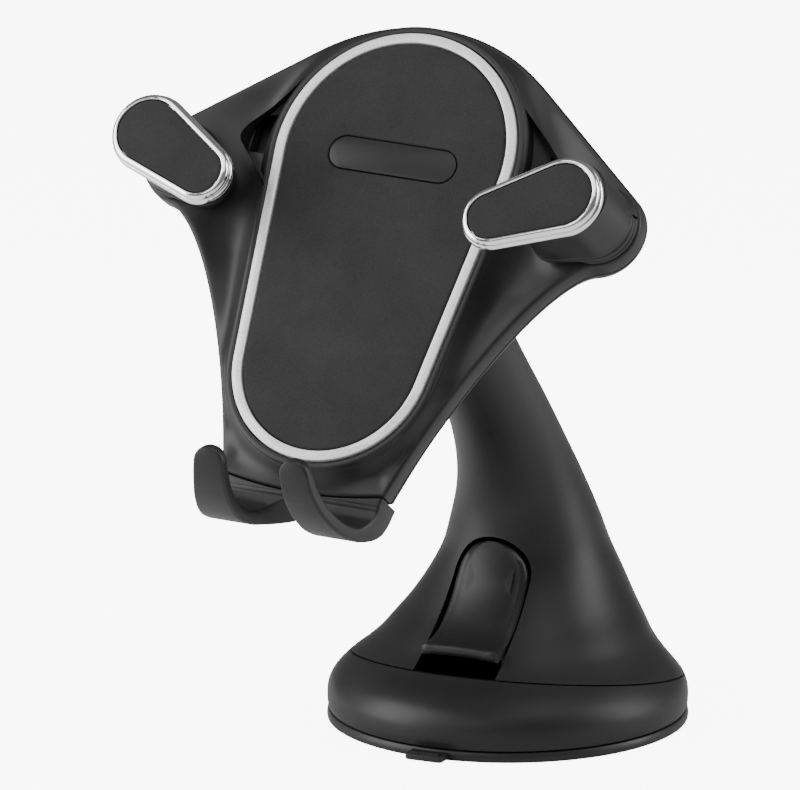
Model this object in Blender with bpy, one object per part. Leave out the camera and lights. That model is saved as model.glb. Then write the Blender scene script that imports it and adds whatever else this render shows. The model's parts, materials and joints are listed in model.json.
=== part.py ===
"""Car phone mount: suction base, stem, ball joint, and a cradle with two jaws and a sliding foot.

The origin is the centre of the suction cup's underside, +Z is up and the cradle faces -Y.
Sizes below are in millimetres, angles in degrees; new_part() scales every mesh to metres.
"""

from math import acos, asin, atan2, cos, degrees, hypot, pi, radians, sin, sqrt

import bmesh
import bpy
from mathutils import Matrix, Vector
from mathutils.geometry import interpolate_bezier

MM = 0.001
GAP = 0.3  # air between pieces that touch on the real object
RUN = 0.15  # running clearance of a pin in its hole

# Base
CUP_RADIUS = 40.7
CUP_HEIGHT = 2.3
SKIRT_BOTTOM = CUP_HEIGHT + 0.4
SEAM_HEIGHT = 12.0  # where the seam plane between skirt and stem crosses the cup's axis
SEAM_TILT = 8.5
PLATE_Z = 8.0
PLATE_THICK = 2.4
PLATE_RADIUS = 33.0
STROKE = 2.1  # travel of the suction cup when the lever opens
LEVER_OPEN = 52.0
LEVER_PIVOT = Vector((0, -4.6, 36.0))
LEVER_HALF_WIDTH = 8.7
# The lever's face from its arched top to the lip (up, forward); it follows the stem's own curve
LEVER_FACE = (
    (43.4, 8.4),
    (40.0, 8.9),
    (36.0, 10.1),
    (32.0, 12.2),
    (28.0, 15.6),
    (25.0, 19.2),
    (22.6, 23.6),
    (21.4, 27.0),
)
LEVER_HEIGHTS = (42.4, 41.6, 40.2, 38.0, 35.0, 32.0, 29.0, 26.2, 24.0, 22.4, 21.4)
LIP_HEIGHT = 25.0  # below it the lever turns outwards into its lip
CHEEK_SPAN = (3.4, 5.6)
EAR_SPAN = (5.9, 7.4)
EAR_RADIUS = 2.1
LEVER_TOP_Z = 42.4
CRANK_THROW = STROKE / (2 * sin(radians(LEVER_OPEN / 2)))
CRANK_RADIUS = 1.5
PIN_RADIUS = 1.0
STUD_BORE = 3.6
SCREW_ANGLES = (85, 205, 325)
SCREW_CIRCLE = 24.0
WIRE_STEPS = 10  # sections in one turn of a spring
WIRE_SIDES = 5

# Skirt and stem: one flare of round sections (forward, up, radius, forward lean)
FLARE_SECTIONS = (
    (0.0, SKIRT_BOTTOM, 40.4, 0.0),
    (0.0, 4.2, 40.7, 0.0),
    (0.0, 7.2, 40.6, 0.0),
    (0.0, 9.4, 39.8, 0.0),
    (0.0, 11.4, 38.3, 0.0),
    (-0.6, 13.4, 36.3, 0.0),
    (-2.2, 15.6, 33.7, 0.0),
    (-4.0, 18.2, 31.1, 0.0),
    (-5.7, 21.3, 28.8, 0.0),
    (-8.0, 26.0, 25.4, 0.0),
    (-9.8, 32.0, 21.9, 0.0),
    (-9.8, 38.0, 19.0, 3.0),
    (-8.8, 44.0, 17.1, 8.0),
    (-5.9, 53.5, 14.3, 16.0),
    (-1.2, 62.5, 12.4, 25.0),
    (5.0, 71.8, 11.2, 33.0),
    (12.6, 81.2, 10.5, 38.0),
    (20.9, 91.1, 10.1, 41.0),
    (29.3, 100.4, 9.8, 45.0),
)
STEM_WALL = 2.4
STEM_END_LEAN = 48.0

# Ball joint
BALL_CENTRE = Vector((0, -48.9, 118.5))
BALL_RADIUS = 7.6
SLEEVE_RADIUS = 8.55  # outside of the friction sleeve over the ball
BALL_NECK_RADIUS = 4.6
COLLAR_RADIUS = 13.4

# Cradle: its own frame has x to the right, y up along the face and z out of the pad
CRADLE_RECLINE = 34.2
CRADLE_ROLL = -2.3
PAD_TOP_CENTRE = Vector((0, 14.0, 24.0))  # centre of the pad's top arc, from the ball
PAD_TOP_RADIUS = 26.4
PAD_FOOT_RADIUS = 21.2
PAD_LENGTH = 49.2  # between the centres of the two end arcs
RING_WIDTH = 2.3
BEZEL_WIDTH = 2.2
FACE_Z = -4.0  # edge of the front shell
SPLIT_Z = -8.6  # joint between front shell and back cover
BACK_Z = -13.4
SHELL_WALL = 1.9
TOP_ARC_RADIUS = 45.4
TOP_EDGE = 31.8
WING_ANGLE = 53.1  # direction of the wing edge's outward normal
CORNER_CENTRE = Vector((50.9, -7.7))
CORNER_RADIUS = 9.9
CORNER_END = -75.5
WAIST = ((42.4, -19.2), (27.6, -50.0), (20.0, -77.0))
SEAM_DIP = 2.0

COVER_BOLTS = ((16.5, 21.6), (13.0, -70.0))

# Jaws
SIDES = ((-1, "left"), (1, "right"))
JAW_PIVOT = Vector((51.5, -8.0))
JAW_AIM = 206.0  # direction of the right jaw's tip
JAW_RADII = (8.1, 5.6)
JAW_LENGTH = 9.4
JAW_BASE_Z = -3.6
FLANGE_RADIUS = 9.0
JAW_TOP_Z = 13.8
PADDLE_ROOT = Vector((50.7, -9.2))
PADDLE_LENGTH = 16.6
PADDLE_RADII = (7.35, 5.4)
RIM_WIDTH = 1.8
PADDLE_Z = (14.1, 18.1)
JAW_SWING = 60.0
GEAR_RADIUS = 9.5
HUB_RADIUS = 6.4
TEETH_PER_TURN = 30
SLIDER_Z = (-10.7, -7.9)
FOOT_TRAVEL = radians(JAW_SWING) * GEAR_RADIUS
SPRING_X = 9.0
SPRING_Z = -9.3

# Foot: one hook's sections (z, y, inner edge, outer edge, thickness) from root to tip
HOOK_SECTIONS = (
    (-8.5, -80.2, 0.6, 19.6, 8.4),
    (-7.6, -82.4, 2.6, 19.5, 7.0),
    (-5.2, -85.2, 6.0, 19.2, 4.8),
    (-1.0, -87.5, 7.4, 18.6, 3.3),
    (5.5, -88.6, 7.6, 17.6, 3.0),
    (12.0, -87.8, 7.3, 16.2, 3.0),
    (17.4, -85.6, 7.0, 14.9, 3.0),
    (21.0, -83.0, 6.9, 14.2, 2.9),
    (22.6, -81.2, 7.7, 13.3, 2.7),
    (23.4, -80.0, 9.2, 11.8, 2.4),
)

for old in list(bpy.data.objects):
    bpy.data.objects.remove(old)


# --- frames -------------------------------------------------------------------------------------


def frame(name, matrix, parent=None):
    """An empty that carries a group of parts."""
    empty = bpy.data.objects.new(name, None)
    bpy.context.collection.objects.link(empty)
    empty.parent = parent
    empty.matrix_local = matrix
    return empty


ball_frame = frame(
    "ball_frame",
    Matrix.Translation(BALL_CENTRE * MM)
    @ Matrix.Rotation(radians(90 - CRADLE_RECLINE), 4, "X")
    @ Matrix.Rotation(radians(CRADLE_ROLL), 4, "Z"),
)
cradle = frame("cradle_frame", Matrix.Translation(PAD_TOP_CENTRE * MM), ball_frame)
stem_end = frame(
    "stem_end_frame",
    Matrix.Translation(BALL_CENTRE * MM) @ Matrix.Rotation(radians(STEM_END_LEAN), 4, "X"),
)


# --- materials ----------------------------------------------------------------------------------


def material(name, colour, roughness, metallic=0.0):
    made = bpy.data.materials.new(name)
    made.use_nodes = True
    shader = made.node_tree.nodes["Principled BSDF"]
    shader.inputs["Base Color"].default_value = (*colour, 1)
    shader.inputs["Roughness"].default_value = roughness
    shader.inputs["Metallic"].default_value = metallic
    return made


BLACK_PLASTIC = material("black_plastic", (0.028, 0.028, 0.029), 0.42)
PAD_RUBBER = material("pad_rubber", (0.05, 0.05, 0.051), 0.75)
CUP_RUBBER = material("cup_rubber", (0.02, 0.02, 0.02), 0.5)
CHROME = material("chrome", (0.8, 0.8, 0.8), 0.12, 1.0)
SATIN_RING = material("satin_ring", (0.68, 0.68, 0.67), 0.45, 0.6)
STEEL = material("steel", (0.55, 0.55, 0.56), 0.3, 1.0)
ACETAL = material("acetal", (0.6, 0.59, 0.55), 0.4)


# --- mesh helpers -------------------------------------------------------------------------------


def new_part(name, mesh, surface, parent=None, origin=(0, 0, 0), smooth=None):
    """A named object from a bmesh in millimetres, with its origin moved to the given point."""
    bmesh.ops.remove_doubles(mesh, verts=mesh.verts, dist=0.0001)
    bmesh.ops.recalc_face_normals(mesh, faces=mesh.faces)
    bmesh.ops.translate(mesh, verts=mesh.verts, vec=-Vector(origin))
    bmesh.ops.scale(mesh, verts=mesh.verts, vec=(MM, MM, MM))
    data = bpy.data.meshes.new(name)
    mesh.to_mesh(data)
    mesh.free()
    if smooth:
        data.shade_smooth()
        data.set_sharp_from_angle(angle=radians(smooth))
    made = bpy.data.objects.new(name, data)
    bpy.context.collection.objects.link(made)
    made.data.materials.append(surface)
    made.parent = parent
    made.location = Vector(origin) * MM
    return made


def boolean(target, tool, operation="DIFFERENCE"):
    """Cuts or joins with a hidden tool object."""
    tool.hide_render = True
    tool.display_type = "WIRE"
    step = target.modifiers.new(tool.name, "BOOLEAN")
    step.operation = operation
    step.object = tool


def tool(name, mesh, parent=None, origin=(0, 0, 0)):
    return new_part(name + ".tool", mesh, BLACK_PLASTIC, parent, origin)


def loft(rings, closed=False):
    """A solid through rings of equally many points, with flat ends unless it is closed on itself."""
    mesh = bmesh.new()
    rows = [[mesh.verts.new(point) for point in ring] for ring in rings]
    count = len(rows[0])
    pairs = list(zip(rows, rows[1:] + rows[:1])) if closed else list(zip(rows, rows[1:]))
    for low, high in pairs:
        for i in range(count):
            j = (i + 1) % count
            mesh.faces.new((low[i], low[j], high[j], high[i]))
    if not closed:
        mesh.faces.new(rows[0][::-1])
        mesh.faces.new(rows[-1])
    return mesh


def prism(outline, low, high, chamfer=0.0):
    """The outline (x, y points) extruded in z, with its top edge chamfered."""
    rings = [[(x, y, low) for x, y in outline], [(x, y, high - chamfer) for x, y in outline]]
    if chamfer:
        rings.append([(x, y, high) for x, y in offset(outline, -chamfer)])
    return loft(rings)


def turned(profile, segments=32, centre=(0, 0, 0), axis="Z"):
    """The closed profile of (radius, height) points turned about an axis through the centre."""
    mesh = bmesh.new()
    rows = []
    for radius, height in profile:
        if radius < 1e-6:
            rows.append([mesh.verts.new((0, 0, height))] * segments)
            continue
        angles = (2 * pi * i / segments for i in range(segments))
        rows.append([mesh.verts.new((radius * cos(a), radius * sin(a), height)) for a in angles])
    for low, high in zip(rows, rows[1:] + rows[:1]):
        for i in range(segments):
            j = (i + 1) % segments
            corners = list(dict.fromkeys((low[i], low[j], high[j], high[i])))
            if len(corners) > 2:
                mesh.faces.new(corners)
    turn = {"Z": Matrix(), "X": Matrix.Rotation(pi / 2, 3, "Y"), "Y": Matrix.Rotation(-pi / 2, 3, "X")}
    bmesh.ops.rotate(mesh, verts=mesh.verts, matrix=turn[axis].to_3x3())
    bmesh.ops.translate(mesh, verts=mesh.verts, vec=centre)
    return mesh


def rod(radius, low, high, segments=20, centre=(0, 0, 0), axis="Z"):
    return turned([(0, low), (radius, low), (radius, high), (0, high)], segments, centre, axis)


def tube(inner, outer, low, high, segments=32, centre=(0, 0, 0), axis="Z"):
    profile = [(inner, low), (outer, low), (outer, high), (inner, high)]
    return turned(profile, segments, centre, axis)


def block(low, high):
    (x0, y0, z0), (x1, y1, z1) = low, high
    return prism([(x0, y0), (x1, y0), (x1, y1), (x0, y1)], z0, z1)


def offset(outline, distance):
    """The outline moved outwards along its vertex normals; it runs anticlockwise."""
    moved = []
    count = len(outline)
    for i, point in enumerate(outline):
        here = Vector(point)
        before = (here - Vector(outline[i - 1])).normalized()
        after = (Vector(outline[(i + 1) % count]) - here).normalized()
        normal = Vector((before.y + after.y, -before.x - after.x)).normalized()
        stretch = 1 / max(0.5, normal.dot(Vector((after.y, -after.x))))
        moved.append(tuple(here + normal * distance * stretch))
    return moved


def arc(centre, radius, start, end, count):
    """Points of an arc, angles in degrees."""
    angles = [radians(start + (end - start) * i / (count - 1)) for i in range(count)]
    return [(centre[0] + radius * cos(a), centre[1] + radius * sin(a)) for a in angles]


def stadium(start, radius, aim, length, far_radius, count=9):
    """A tapered stadium: a big arc about start and a small one at the given distance and direction."""
    lean = degrees(acos((radius - far_radius) / length))
    way = Vector((cos(radians(aim)), sin(radians(aim))))
    far = Vector(start) + way * length
    big = arc(start, radius, aim + lean, aim + 360 - lean, 2 * count)
    small = arc(far, far_radius, aim - lean, aim + lean, count)
    return big + small


def mirrored(points):
    return [(-x, y) for x, y in reversed(points)]


def side_point(point, side):
    return Vector((side * point[0], point[1]))


# --- base ---------------------------------------------------------------------------------------


def flare_ring(section, inset, count=36):
    """One round section of skirt or stem, leaning forward in the symmetry plane."""
    forward, up, radius, lean = section
    turn = Matrix.Rotation(radians(lean), 3, "X")
    centre = Vector((0, -forward, up))
    ring = []
    for i in range(count):
        angle = 2 * pi * i / count
        flat = Vector(((radius - inset) * cos(angle), (radius - inset) * sin(angle), 0))
        ring.append(tuple(centre + turn @ flat))
    return ring


def flare(sections, inset=0.0, drop=0.0):
    """The flare's solid through some of its sections; drop lowers its first ring for a clean cut."""
    rings = [flare_ring(section, inset) for section in sections]
    if drop:
        rings.insert(0, [(x, y, z - drop) for x, y, z in rings[0]])
    return loft(rings)


def seam_slab(low, high, name):
    """A thick slab parallel to the tilted seam plane, used to cut along it."""
    mesh = block((-60, -60, low), (60, 60, high))
    bmesh.ops.rotate(mesh, verts=mesh.verts, matrix=Matrix.Rotation(radians(-SEAM_TILT), 3, "X"))
    bmesh.ops.translate(mesh, verts=mesh.verts, vec=(0, 0, SEAM_HEIGHT))
    return tool(name, mesh)


def make_skirt():
    skirt = new_part("base_skirt", flare(FLARE_SECTIONS[:8]), BLACK_PLASTIC, smooth=40)
    boolean(skirt, tool("skirt_hollow", flare(FLARE_SECTIONS[:9], STEM_WALL, 3)))
    boolean(skirt, seam_slab(-GAP / 2, 40, "skirt_trim"))
    notch = block((-6.2, -44, -1), (6.2, -36.0, 3.6))
    boolean(skirt, tool("skirt_notch", notch))
    return skirt


def make_cup():
    """Rubber cup with a pull tongue at its front."""
    profile = [(0, 0), (CUP_RADIUS, 0), (CUP_RADIUS + 0.1, 0.8), (CUP_RADIUS - 0.2, CUP_HEIGHT)]
    profile += [(13, 2.9), (0, 2.9)]
    cup = new_part("suction_cup", turned(profile, 64), CUP_RUBBER, smooth=40)
    tongue = [(-4.6, -36), (4.6, -36), (4.6, -43.6), (3.4, -44.9), (-3.4, -44.9), (-4.6, -43.6)]
    boolean(cup, tool("cup_tongue", prism(tongue, 0.5, CUP_HEIGHT - 0.5)), "UNION")
    return cup


def make_cup_fittings():
    """The hard disc on the rubber cup, and the stud that the lever pulls up."""
    new_part("cup_insert", tube(STUD_BORE, 11.0, 3.2, 4.6, 20), STEEL, smooth=40)
    arm_top = LEVER_PIVOT.z + 5.0
    arm_low = LEVER_PIVOT.z + CRANK_THROW * sin(radians(LEVER_OPEN / 2)) + CRANK_RADIUS + 0.1
    stud = new_part("cup_stud", rod(3.3, 3.2, 30.0), STEEL, smooth=40)
    bar = block((-2.2, LEVER_PIVOT.y + 4.2, 29.0), (2.2, 3.1, arm_top))
    boolean(stud, tool("stud_bar", bar), "UNION")
    arm = block((-2.2, LEVER_PIVOT.y + 1.2, arm_low), (2.2, 2.0, arm_top))
    boolean(stud, tool("stud_arm", arm), "UNION")


def screw_spot(angle):
    return (SCREW_CIRCLE * cos(radians(angle)), SCREW_CIRCLE * sin(radians(angle)), 0)


def make_plate():
    """Inner plate that guides the stud and carries the lever's two ears."""
    disc = tube(STUD_BORE, PLATE_RADIUS, PLATE_Z, PLATE_Z + PLATE_THICK, 36)
    plate = new_part("base_plate", disc, BLACK_PLASTIC, smooth=40)
    pivot = LEVER_PIVOT
    for side, word in SIDES:
        ear = arc((pivot.y, pivot.z), EAR_RADIUS, 0, 180, 9)
        ear += [(pivot.y - EAR_RADIUS, PLATE_Z + 1), (pivot.y + EAR_RADIUS, PLATE_Z + 1)]
        near, far = sorted((side * EAR_SPAN[0], side * EAR_SPAN[1]))
        mesh = loft([[(x, y, z) for y, z in ear] for x in (near, far)])
        boolean(plate, tool(f"{word}_ear", mesh), "UNION")
    boolean(plate, tool("ear_bore", rod(PIN_RADIUS + RUN, -9, 9, 16, pivot, "X")))
    for i, angle in enumerate(SCREW_ANGLES):
        spot = screw_spot(angle)
        boolean(plate, tool(f"plate_hole_{i}", rod(1.6, PLATE_Z - 1, PLATE_Z + 4, 12, spot)))


def make_base_screws():
    """Self-tapping screws that hold the inner plate in the stem's bosses."""
    for i, angle in enumerate(SCREW_ANGLES):
        shank_top = PLATE_Z + PLATE_THICK + 3.6
        profile = [(0, 6.2), (2.6, 6.2), (2.6, 7.7), (1.25, 7.7), (1.25, shank_top), (0, shank_top)]
        new_part(f"base_screw_{i + 1}", turned(profile, 10, screw_spot(angle)), STEEL, smooth=40)


def make_spring(name, radius, wire, low, high, turns, parent=None):
    """A helical spring about its own Z axis, as a swept round wire."""
    steps = int(turns * WIRE_STEPS)
    rings = []
    for i in range(steps + 1):
        angle = 2 * pi * turns * i / steps
        height = low + wire + (high - low - 2 * wire) * i / steps
        outwards = Vector((cos(angle), sin(angle), 0))
        middle = outwards * radius + Vector((0, 0, height))
        ring = []
        for j in range(WIRE_SIDES):
            turn = 2 * pi * j / WIRE_SIDES
            ring.append(tuple(middle + outwards * wire * cos(turn) + Vector((0, 0, wire * sin(turn)))))
        rings.append(ring)
    return new_part(name, loft(rings), STEEL, parent, smooth=60)


# --- stem and lever -----------------------------------------------------------------------------


def lever_edge(height):
    """Forward place of the lever's face at a height: the stem's own curve, then the flared lip."""
    for (high, near), (low, far) in zip(LEVER_FACE, LEVER_FACE[1:]):
        if height >= low:
            return near + (far - near) * (high - height) / (high - low)
    return LEVER_FACE[-1][1]


def arch(half_width, top, bottom, flare):
    """Front outline (x, z) of the lever: a round top on sides that widen to the lip."""
    crown = arc((0, top - half_width), half_width, 0, 180, 15)
    return [(half_width + flare, bottom)] + crown + [(-half_width - flare, bottom)]


def lever_sag(height, across):
    """How far the lever's face falls back at a distance from its middle, to follow the round stem."""
    round_by = max(0, 30 - height * 0.3)
    return round_by - sqrt(round_by**2 - across**2)


def make_stem():
    """Hollow leaning stem with the lever's window in its front and the ball stud's seat in its end."""
    tip = ((36.6, 108.0, 9.2, STEM_END_LEAN), (37.6, 108.9, 7.6, STEM_END_LEAN))
    stem = new_part("stem_shell", flare(FLARE_SECTIONS[2:] + tip), BLACK_PLASTIC, smooth=40)
    boolean(stem, tool("stem_hollow", flare(FLARE_SECTIONS[2:-1], STEM_WALL, 3)))
    boolean(stem, seam_slab(-40, GAP / 2, "stem_trim"))
    boolean(stem, tool("stem_seat", rod(4.2, -26, -8, 20), stem_end))
    window = arch(LEVER_HALF_WIDTH + 0.9, LEVER_TOP_Z + 1.4, 8.0, 1.0)
    boolean(stem, tool("lever_window", loft([[(x, y, z) for x, z in window] for y in (-34, -2)])))
    return stem


def make_lever():
    """Lever plate that follows the stem's front face, with a thick lip, two cheeks and a crank pin."""
    rings = []
    for height in LEVER_HEIGHTS:
        drop = LEVER_TOP_Z - height
        round_top = sqrt(max(0.3, LEVER_HALF_WIDTH**2 - max(0, LEVER_HALF_WIDTH - drop) ** 2))
        half = min(LEVER_HALF_WIDTH, round_top) + 1.0 * max(0, drop - LEVER_HALF_WIDTH) / 12
        face = lever_edge(height) - 0.25
        back = face - 2.0
        dip = 0.5 * min(1, drop / 8)
        lift = 1.4 if height < LIP_HEIGHT else 0
        ring = [(-half, -back + 0.6, height), (half, -back + 0.6, height)]
        for share in (1, 0.6, 0, -0.6, -1):
            across = half * share
            fall = lever_sag(height, across) + dip * (1 - share**2)
            ring.append((across, -face + fall, height + lift))
        rings.append(ring)
    lever = new_part("suction_lever", loft(rings), BLACK_PLASTIC, origin=LEVER_PIVOT, smooth=40)
    pivot = LEVER_PIVOT
    roots = [(1.9 - lever_edge(height), height) for height in (31.0, 38.0)]
    for side, word in SIDES:
        cheek = arc((pivot.y, pivot.z), 2.6, 110, -110, 9) + roots
        near, far = sorted((side * CHEEK_SPAN[0], side * CHEEK_SPAN[1]))
        mesh = loft([[(x, y, z) for y, z in cheek] for x in (near, far)])
        boolean(lever, tool(f"{word}_cheek", mesh), "UNION")
    half_swing = radians(LEVER_OPEN / 2)
    crank = pivot + Vector((0, CRANK_THROW * cos(half_swing), CRANK_THROW * sin(half_swing)))
    boolean(lever, tool("crank_pin", rod(CRANK_RADIUS, -4.5, 4.5, 16, crank, "X")), "UNION")
    boolean(lever, tool("lever_bore", rod(PIN_RADIUS + RUN, -9, 9, 16, pivot, "X")))
    new_part("lever_pin", rod(PIN_RADIUS, -7.6, 7.6, 16, pivot, "X"), STEEL, smooth=40)
    return lever


# --- ball joint ---------------------------------------------------------------------------------


def make_ball_stud():
    """Ball on a neck that plugs into the stem's end; the stem end frame's origin is the ball's centre."""
    neck_z = -sqrt(BALL_RADIUS**2 - BALL_NECK_RADIUS**2)
    profile = [(0, -24), (3.9, -24), (3.9, -13.2), (BALL_NECK_RADIUS, -12.6), (BALL_NECK_RADIUS, neck_z)]
    low = atan2(neck_z, BALL_NECK_RADIUS)
    for i in range(1, 10):
        angle = low + (pi / 2 - low) * i / 10
        profile.append((BALL_RADIUS * cos(angle), BALL_RADIUS * sin(angle)))
    profile.append((0, BALL_RADIUS))
    return new_part("ball_stud", turned(profile, 18), BLACK_PLASTIC, stem_end, smooth=40)


def sphere_profile(radius, low, high, steps):
    """Half section of a sphere about the origin between two heights, bottom to top."""
    start, end = asin(low / radius), asin(min(1, high / radius))
    angles = [start + (end - start) * i / steps for i in range(steps + 1)]
    return [(radius * cos(a), radius * sin(a)) for a in angles]


def make_ball_cups():
    """Friction sleeve over the ball, the cup that presses on it, and the collar that draws them together."""
    outside = sphere_profile(SLEEVE_RADIUS, -3.0, 6.0, 8)
    inside = sphere_profile(BALL_RADIUS + RUN, -2.9, 5.8, 8)
    new_part("ball_sleeve", turned(outside + inside[::-1], 24), ACETAL, ball_frame, smooth=40)
    bowl = sphere_profile(SLEEVE_RADIUS + RUN, -2.4, SLEEVE_RADIUS + RUN, 10)
    bowl[-1] = (0, SLEEVE_RADIUS + RUN)
    cup = [(9.9, -2.4), (9.9, 9.4), (0, 9.4)] + bowl[::-1]
    new_part("pressure_cup", turned(cup, 24), ACETAL, ball_frame, smooth=40)
    thread = COLLAR_RADIUS - 1.7
    nut = [(thread, 5.8), (COLLAR_RADIUS - 0.8, 5.8), (COLLAR_RADIUS, 5.0), (COLLAR_RADIUS, -5.0)]
    nut += [(COLLAR_RADIUS - 1.2, -6.2), (9.6, -6.2), (8.1, -3.8), (8.1, -3.3), (thread, -3.3)]
    collar = new_part("collar_nut", turned(nut[::-1], 30), BLACK_PLASTIC, ball_frame, smooth=40)
    ribs = 20
    for i in range(0, ribs, 2):
        angle = 2 * pi * i / ribs
        spot = ((COLLAR_RADIUS + 0.9) * cos(angle), (COLLAR_RADIUS + 0.9) * sin(angle), 0)
        boolean(collar, tool(f"collar_flute_{i}", rod(1.5, -7, 7, 10, spot), ball_frame))
    return collar


# --- cradle outlines ----------------------------------------------------------------------------


def shell_outline(inset=0.0):
    """Outline of the cradle down to the seam with the foot, anticlockwise."""
    top = arc((0, TOP_EDGE - TOP_ARC_RADIUS), TOP_ARC_RADIUS, 90, WING_ANGLE, 8)
    corner = arc(CORNER_CENTRE, CORNER_RADIUS, WING_ANGLE, CORNER_END, 10)
    knots = [Vector((*point, 0)) for point in (corner[-1], *WAIST)]
    waist = [(p.x, p.y) for p in interpolate_bezier(*knots, 13)]
    seam = [(x, WAIST[2][1] - SEAM_DIP * (1 - (x / WAIST[2][0]) ** 2)) for x in (13.5, 6.8, 0)]
    right = top[1:] + corner + waist[1:] + seam[:2]
    outline = ([top[0]] + right + [seam[2]] + mirrored(right))[::-1]
    return offset(outline, -inset) if inset else outline


def pear_outline(grow=0.0, count=14):
    """Outline of the pad, grown outwards by a distance, anticlockwise."""
    return stadium((0, 0), PAD_TOP_RADIUS + grow, -90, PAD_LENGTH, PAD_FOOT_RADIUS + grow, count)


def window_outline(side):
    """The gap between bezel and wing edge: an arc beside the bezel and a rounded outer corner."""
    inner = arc((0, 0), 31.6, -23, 30, 7)
    outer = [(29.0, 17.0)] + arc((36.2, 1.4), 4.0, 53, -35, 5) + [(33.6, -12.8)]
    outline = inner + outer
    return outline if side > 0 else [(-x, y) for x, y in reversed(outline)]


def wing_bolts():
    return [(side * x, y) for side, _ in SIDES for x, y in COVER_BOLTS]


# --- cradle shells ------------------------------------------------------------------------------


def make_front_shell():
    """Front shell with a tray for the pad, a raised bezel, two windows and the jaws' shaft holes."""
    body = prism(shell_outline(), SPLIT_Z + GAP / 2, FACE_Z, 1.2)
    shell = new_part("front_shell", body, BLACK_PLASTIC, cradle, smooth=35)
    boss = loft([
        [(x, y, FACE_Z - 0.8) for x, y in pear_outline(RING_WIDTH + BEZEL_WIDTH + 0.6)],
        [(x, y, -1.6) for x, y in pear_outline(RING_WIDTH + BEZEL_WIDTH)],
        [(x, y, -0.7) for x, y in pear_outline(RING_WIDTH + BEZEL_WIDTH - 0.6)],
    ])
    boolean(shell, tool("bezel_boss", boss, cradle), "UNION")
    tray = prism(pear_outline(RING_WIDTH + GAP), -2.5, 1.0)
    boolean(shell, tool("pad_tray", tray, cradle))
    hollow = prism(shell_outline(SHELL_WALL), SPLIT_Z - 1, FACE_Z - SHELL_WALL)
    boolean(shell, tool("front_hollow", hollow, cradle))
    slot = block((-9.6, -81, SPLIT_Z - 1), (9.6, -70, SLIDER_Z[1] + GAP))
    boolean(shell, tool("front_slot", slot, cradle))
    for side, word in SIDES:
        gap = prism(window_outline(side), FACE_Z - 4, FACE_Z + 2)
        boolean(shell, tool(f"{word}_window", gap, cradle))
        hole = rod(5.2, SPLIT_Z, 0, 20, (*side_point(JAW_PIVOT, side), 0))
        boolean(shell, tool(f"{word}_shaft_hole", hole, cradle))
    return shell


def make_back_cover():
    """Tapered back cover with the socket's neck and four sunk screw holes."""
    lip = SPLIT_Z - GAP / 2
    outside = ((BACK_Z, 3.6), (BACK_Z + 1.2, 2.0), (BACK_Z + 2.8, 0.9), (lip, 0.1))
    body = loft([[(x, y, z) for x, y in shell_outline(inset)] for z, inset in outside])
    cover = new_part("back_cover", body, BLACK_PLASTIC, cradle, smooth=35)
    inside = ((BACK_Z + SHELL_WALL, 3.7), (BACK_Z + 2.5, 2.8), (lip, 2.3), (0, 2.3))
    hollow = loft([[(x, y, z) for x, y in shell_outline(inset)] for z, inset in inside])
    boolean(cover, tool("back_hollow", hollow, cradle))
    slot = block((-9.6, -81, SLIDER_Z[0] - GAP), (9.6, -70, 0))
    boolean(cover, tool("back_slot", slot, cradle))
    neck_top = BACK_Z + 1.0 + PAD_TOP_CENTRE.z
    collet = [(0, 9.7), (10.1, 9.7), (10.1, -2.6), (COLLAR_RADIUS - 1.9, -2.6), (COLLAR_RADIUS - 1.9, 6.4)]
    neck = turned(collet + [(15.0, neck_top), (0, neck_top)], 24)
    boolean(cover, tool("socket_neck", neck, ball_frame), "UNION")
    for i, (x, y) in enumerate(wing_bolts()):
        boolean(cover, tool(f"cover_hole_{i}", rod(1.3, BACK_Z - 1, 0, 12, (x, y, 0)), cradle))
        boolean(cover, tool(f"cover_sink_{i}", rod(2.7, BACK_Z - 1, BACK_Z + 1.0, 16, (x, y, 0)), cradle))
    return cover


def make_cover_screws():
    for i, (x, y) in enumerate(wing_bolts()):
        head = BACK_Z + 0.1
        tip = FACE_Z - SHELL_WALL - GAP
        profile = [(0, head), (2.4, head), (2.4, head + 0.8), (1.1, head + 0.8), (1.1, tip), (0, tip)]
        new_part(f"cover_screw_{i + 1}", turned(profile, 10, (x, y, 0)), STEEL, cradle, smooth=40)


def make_pad():
    """Bright trim ring round the rubber pad, with the blank oval inset."""
    outer = prism(pear_outline(RING_WIDTH), -2.2, 0.0, 0.35)
    ring = new_part("trim_ring", outer, SATIN_RING, cradle, smooth=35)
    boolean(ring, tool("ring_hole", prism(pear_outline(), -3, 1), cradle))
    pad = new_part("pad", prism(pear_outline(-GAP), -2.2, -0.25), PAD_RUBBER, cradle, smooth=35)
    oval = stadium((-11.7, -1.2), 3.8, 0, 23.4, 3.79)
    recess = offset(oval, 0.3)
    boolean(pad, tool("badge_recess", prism(recess, -1.2, 0.5), cradle))
    new_part("badge_inset", prism(oval, -0.95, -0.2), BLACK_PLASTIC, cradle, smooth=35)


# --- jaws and their drive -----------------------------------------------------------------------


def aimed(side):
    return JAW_AIM if side > 0 else 180 - JAW_AIM


def gear_outline(side):
    """A toothed sector that faces the rack, on a smaller round hub; centred on the origin."""
    points = arc((0, 0), HUB_RADIUS, -156, 98, 16)
    for i in range(9, 16):
        for share, radius in ((-0.32, -0.75), (-0.13, 0.6), (0.13, 0.6), (0.32, -0.75)):
            angle = 2 * pi * (i + share) / TEETH_PER_TURN
            points.append(((GEAR_RADIUS + radius) * cos(angle), (GEAR_RADIUS + radius) * sin(angle)))
    return points if side > 0 else mirrored(points)


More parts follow.
